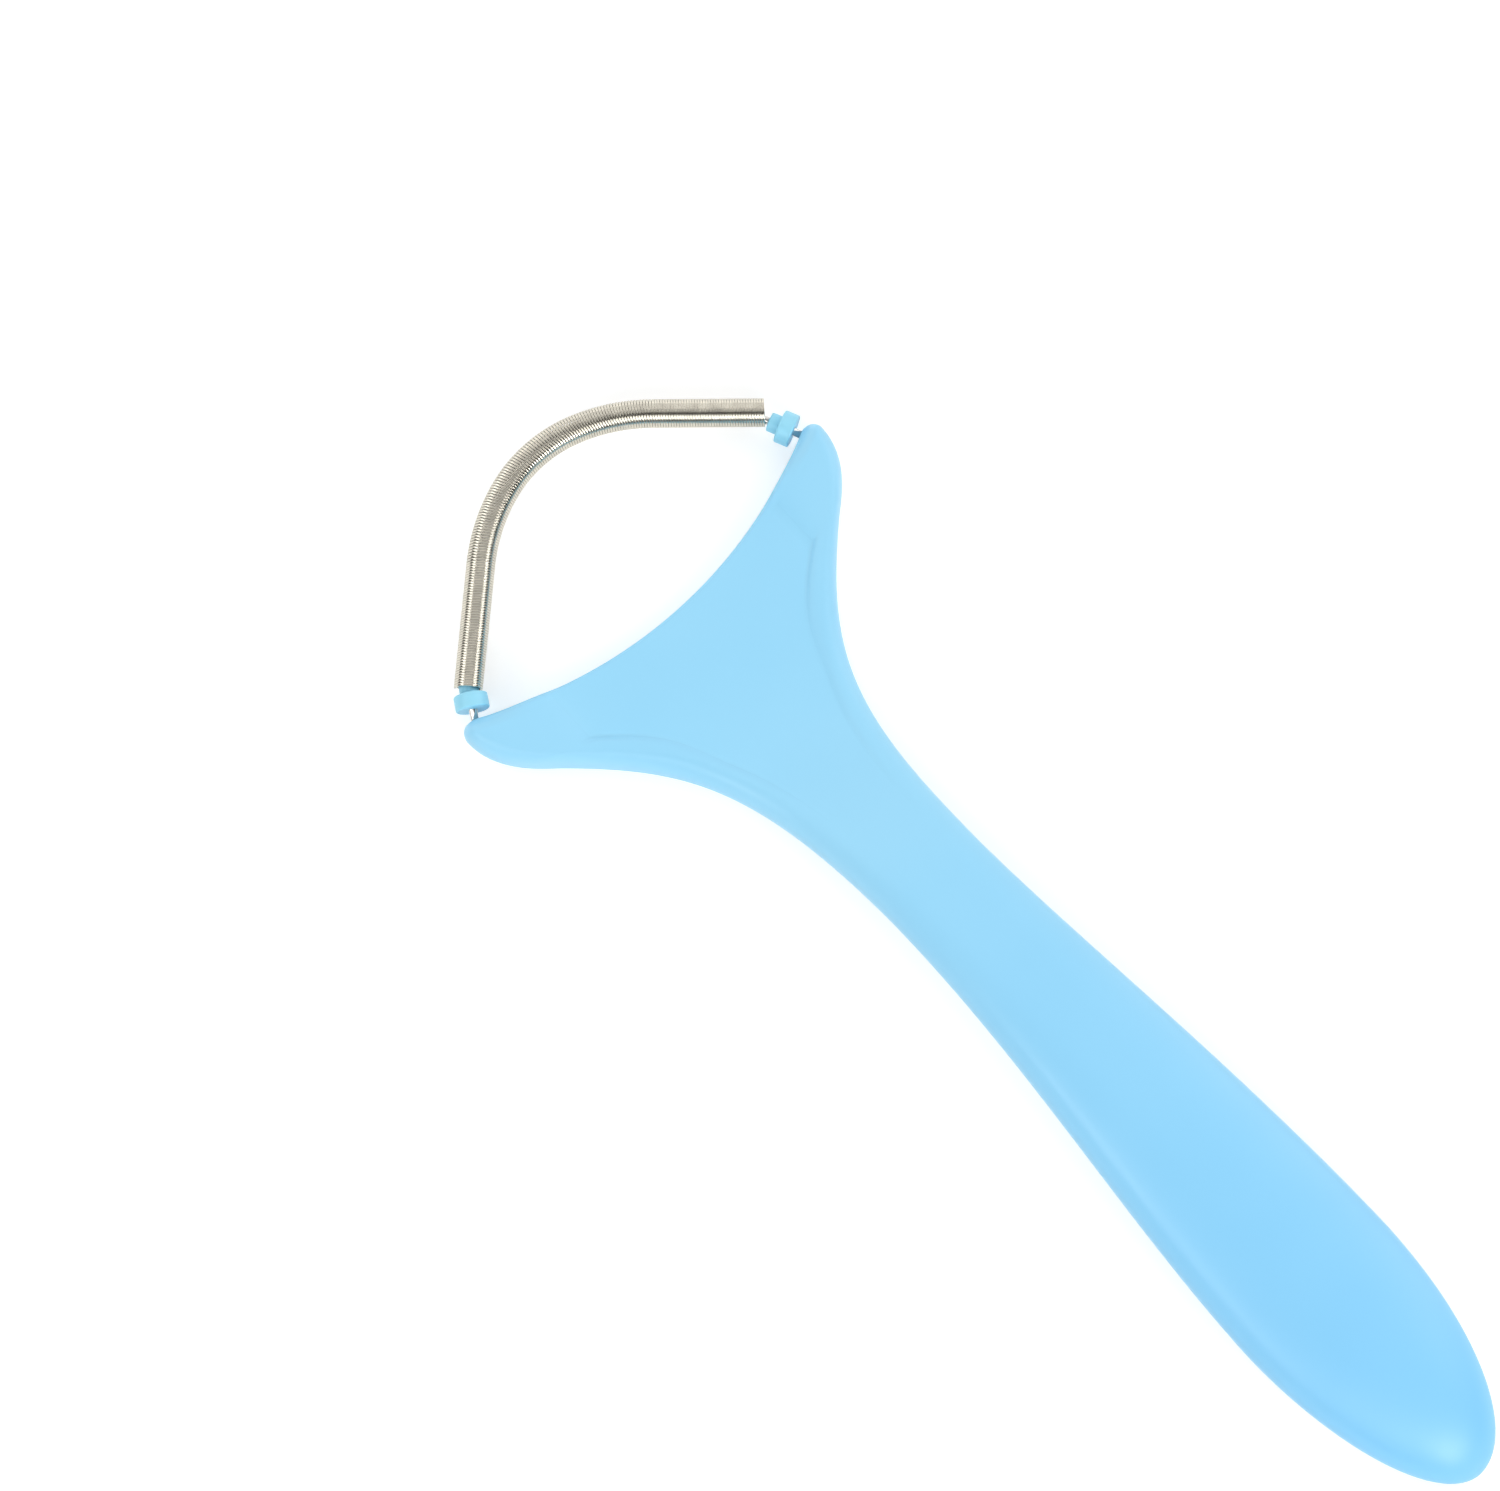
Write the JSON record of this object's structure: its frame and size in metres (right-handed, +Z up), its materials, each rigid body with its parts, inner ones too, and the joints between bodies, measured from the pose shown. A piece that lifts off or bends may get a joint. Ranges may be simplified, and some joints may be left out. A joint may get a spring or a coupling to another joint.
{
  "type": "facial hair removal spring",
  "caption": "Hand tool for pulling out fine facial hair: a close-wound steel coil bent into an arch on a core wire between the arms of a moulded Y-shaped handle.",
  "frame": {"origin": "under the middle of the whole tool as it lies flat, on the surface it rests on", "axes": "+X across the arms, +Y from the grip towards the coil, +Z up from the surface the tool lies on"},
  "size_m": [0.057, 0.1662, 0.0145],
  "materials": {
    "handle_plastic": "satin gloss",
    "collar_plastic": "satin gloss",
    "coil_steel": "bright drawn wire",
    "wire_steel": "polished"
  },
  "bodies": {
    "tool": {"handle": "handle_plastic", "core_wire": "wire_steel", "spring": "coil_steel"},
    "left_collar": {"left_collar": "collar_plastic"},
    "right_collar": {"right_collar": "collar_plastic"}
  },
  "joints": [
    {"name": "left_collar_spin", "type": "hinge", "parent": "tool", "child": "left_collar", "pos_m": [-0.0262, 0.06168, 0.0031], "axis": [0.5225, 0.8526, 0], "continuous": true},
    {"name": "right_collar_spin", "type": "hinge", "parent": "tool", "child": "right_collar", "pos_m": [0.0262, 0.06168, 0.0031], "axis": [-0.4067, 0.9135, 0], "continuous": true}
  ]
}
